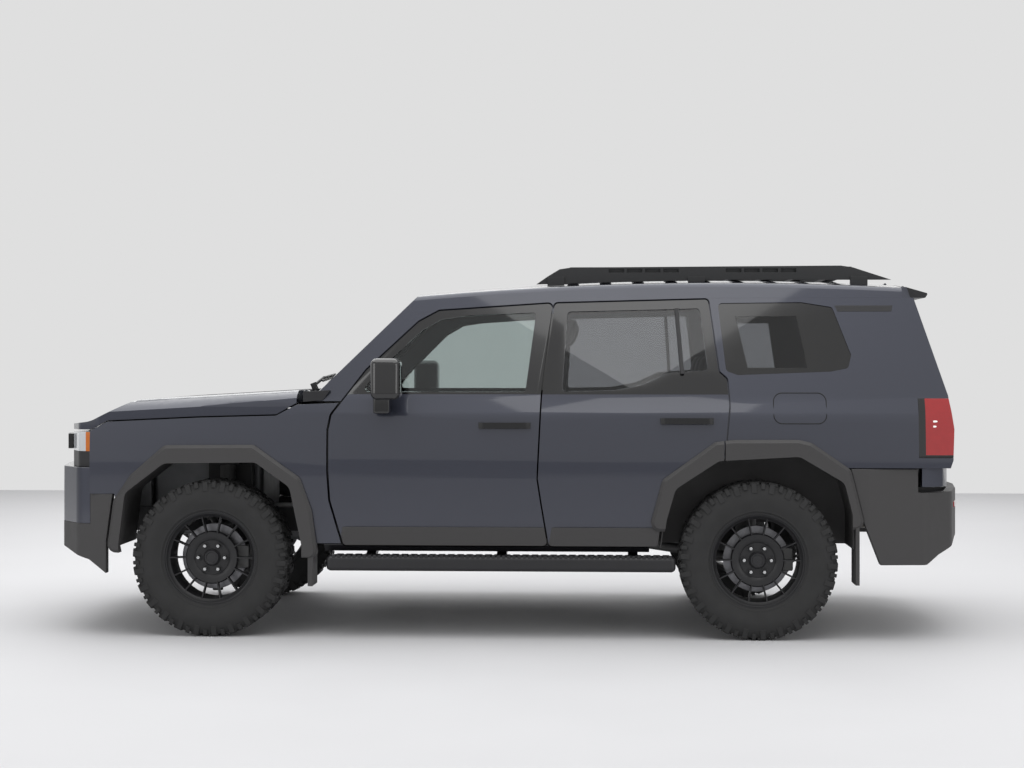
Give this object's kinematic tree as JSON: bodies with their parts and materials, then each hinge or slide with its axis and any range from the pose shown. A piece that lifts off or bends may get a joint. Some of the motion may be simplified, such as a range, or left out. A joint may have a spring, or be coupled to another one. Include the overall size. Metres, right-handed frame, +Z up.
{
  "type": "sport utility vehicle",
  "caption": "Off-road sport utility vehicle on a ladder frame, with hinged doors, hood and tailgate, steered front wheels, platform roof rack and side steps.",
  "frame": {"origin": "on the ground, under the middle of the overall length", "axes": "+X towards the nose, +Y to the vehicle's left, +Z up"},
  "size_m": [4.91, 2.3, 1.948],
  "materials": {
    "body_paint": "satin metallic",
    "dark_plastic": "grained",
    "black_trim": "gloss",
    "glass_clear": "clear",
    "glass_dark": "tinted",
    "lamp_clear": "clear",
    "lamp_red": "gloss",
    "tyre": "matte",
    "rim_black": "satin black",
    "frame_black": "matte",
    "cast_steel": "as cast",
    "engine_alloy": "as cast",
    "pipe_steel": "satin",
    "seat_cover": "grained",
    "cabin_plastic": "grained"
  },
  "bodies": {
    "body": {"roof_panel": "body_paint", "a_pillars": "body_paint", "b_pillars": "black_trim", "sills": "body_paint", "quarter_panels": "body_paint", "bulkhead": "frame_black", "windscreen": "glass_clear", "quarter_glass": "glass_dark", "tail_lamps": "lamp_red", "front_fenders": "body_paint", "wheel_arch_flares": "dark_plastic", "wheel_liners": "dark_plastic", "cowl": "dark_plastic", "headlamps": "lamp_clear", "grille": "black_trim", "front_bumper_bar": "body_paint", "front_bumper": "dark_plastic", "rear_bumper": "dark_plastic", "hitch_receiver": "frame_black", "ladder_frame": "frame_black", "floor_pan": "frame_black", "powertrain": "engine_alloy", "exhaust": "pipe_steel", "fuel_tank": "frame_black", "front_suspension": "cast_steel", "rear_axle": "cast_steel", "side_steps": "dark_plastic", "roof_rack": "frame_black", "dashboard": "cabin_plastic", "front_seats": "seat_cover", "rear_seats": "seat_cover"},
    "front_door_left": {"front_door_left": "body_paint", "front_door_glass_left": "glass_clear", "front_door_cladding_left": "dark_plastic", "door_mirror_left": "black_trim"},
    "rear_door_left": {"rear_door_left": "body_paint", "rear_door_glass_left": "glass_dark", "rear_door_cladding_left": "dark_plastic"},
    "steer_left": {"knuckle_left": "cast_steel"},
    "front_door_right": {"front_door_right": "body_paint", "front_door_glass_right": "glass_clear", "front_door_cladding_right": "dark_plastic", "door_mirror_right": "black_trim"},
    "rear_door_right": {"rear_door_right": "body_paint", "rear_door_glass_right": "glass_dark", "rear_door_cladding_right": "dark_plastic"},
    "steer_right": {"knuckle_right": "cast_steel"},
    "wheel_front_left": {"tyre_front_left": "tyre", "rim_front_left": "rim_black"},
    "wheel_front_right": {"tyre_front_right": "tyre", "rim_front_right": "rim_black"},
    "wheel_rear_left": {"tyre_rear_left": "tyre", "rim_rear_left": "rim_black"},
    "wheel_rear_right": {"tyre_rear_right": "tyre", "rim_rear_right": "rim_black"},
    "hood": {"hood": "body_paint"},
    "tailgate": {"tailgate": "body_paint", "tailgate_glass": "glass_dark", "spoiler": "black_trim"}
  },
  "joints": [
    {"name": "hood_hinge", "type": "hinge", "parent": "body", "child": "hood", "pos_m": [1.071, 0, 1.27], "axis": [0, -1, 0], "range_deg": [0, 50]},
    {"name": "tailgate_hinge", "type": "hinge", "parent": "body", "child": "tailgate", "pos_m": [-2.086, 0, 1.866], "axis": [0, 1, 0], "range_deg": [0, 80]},
    {"name": "front_door_left_hinge", "type": "hinge", "parent": "body", "child": "front_door_left", "pos_m": [0.86, 0.9505, 0.9], "axis": [0, 0, -1], "range_deg": [0, 68]},
    {"name": "rear_door_left_hinge", "type": "hinge", "parent": "body", "child": "rear_door_left", "pos_m": [-0.23, 0.9505, 0.9], "axis": [0, 0, -1], "range_deg": [0, 68]},
    {"name": "front_door_right_hinge", "type": "hinge", "parent": "body", "child": "front_door_right", "pos_m": [0.86, -0.9505, 0.9], "axis": [0, 0, 1], "range_deg": [0, 68]},
    {"name": "rear_door_right_hinge", "type": "hinge", "parent": "body", "child": "rear_door_right", "pos_m": [-0.23, -0.9505, 0.9], "axis": [0, 0, 1], "range_deg": [0, 68]},
    {"name": "steer_left", "type": "hinge", "parent": "body", "child": "steer_left", "pos_m": [1.535, 0.748, 0.408], "axis": [0, 0, 1], "range_deg": [-35, 35]},
    {"name": "steer_right", "type": "hinge", "parent": "body", "child": "steer_right", "pos_m": [1.535, -0.748, 0.408], "axis": [0, 0, 1], "range_deg": [-35, 35]},
    {"name": "wheel_front_left_spin", "type": "hinge", "parent": "steer_left", "child": "wheel_front_left", "pos_m": [1.535, 0.832, 0.408], "axis": [0, 1, 0], "continuous": true},
    {"name": "wheel_front_right_spin", "type": "hinge", "parent": "steer_right", "child": "wheel_front_right", "pos_m": [1.535, -0.832, 0.408], "axis": [0, 1, 0], "continuous": true},
    {"name": "wheel_rear_left_spin", "type": "hinge", "parent": "body", "child": "wheel_rear_left", "pos_m": [-1.315, 0.832, 0.408], "axis": [0, 1, 0], "continuous": true},
    {"name": "wheel_rear_right_spin", "type": "hinge", "parent": "body", "child": "wheel_rear_right", "pos_m": [-1.315, -0.832, 0.408], "axis": [0, 1, 0], "continuous": true}
  ],
  "couplings": [
    {"joint": "steer_right", "follows": "steer_left", "ratio": 1}
  ]
}
